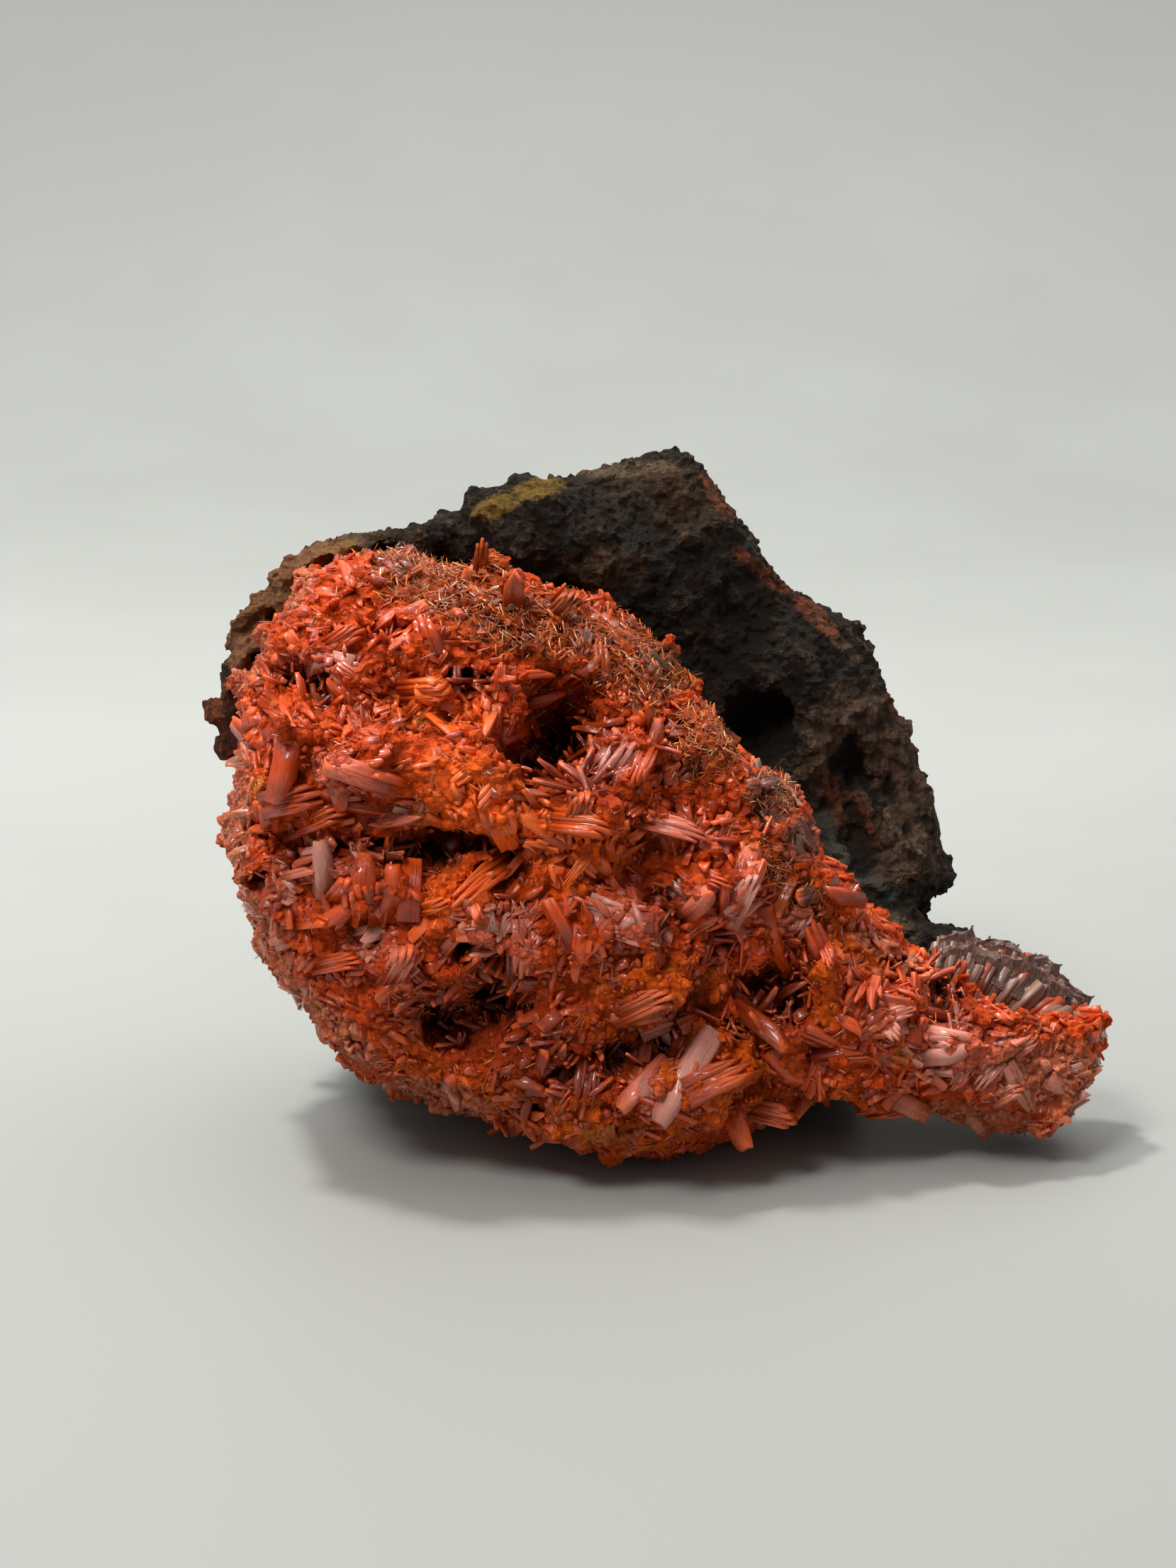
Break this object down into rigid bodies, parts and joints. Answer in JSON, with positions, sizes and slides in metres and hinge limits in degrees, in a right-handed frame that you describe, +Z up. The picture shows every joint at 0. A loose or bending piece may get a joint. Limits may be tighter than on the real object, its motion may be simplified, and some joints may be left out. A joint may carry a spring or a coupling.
{
  "type": "crocoite on matrix specimen",
  "caption": "Natural mineral hand specimen: a thick crust of orange-red crocoite blades leaning on dark gossan rock, lying on its underside.",
  "frame": {"origin": "middle of the flat resting face, on the table", "axes": "+X to the viewer's right along the specimen's length, +Y away from the viewer towards the rock, +Z up"},
  "size_m": [0.0683, 0.0437, 0.0506],
  "materials": {
    "crocoite": "translucent crystal blades with a vitreous to greasy lustre, earthy orange between them",
    "gossan": "dull, earthy and rough, stained with ochre",
    "druse": "glassy grey-brown columns"
  },
  "bodies": {
    "root": {"crocoite_crust": "crocoite", "gossan_matrix": "gossan", "column_druse": "druse"}
  },
  "joints": []
}
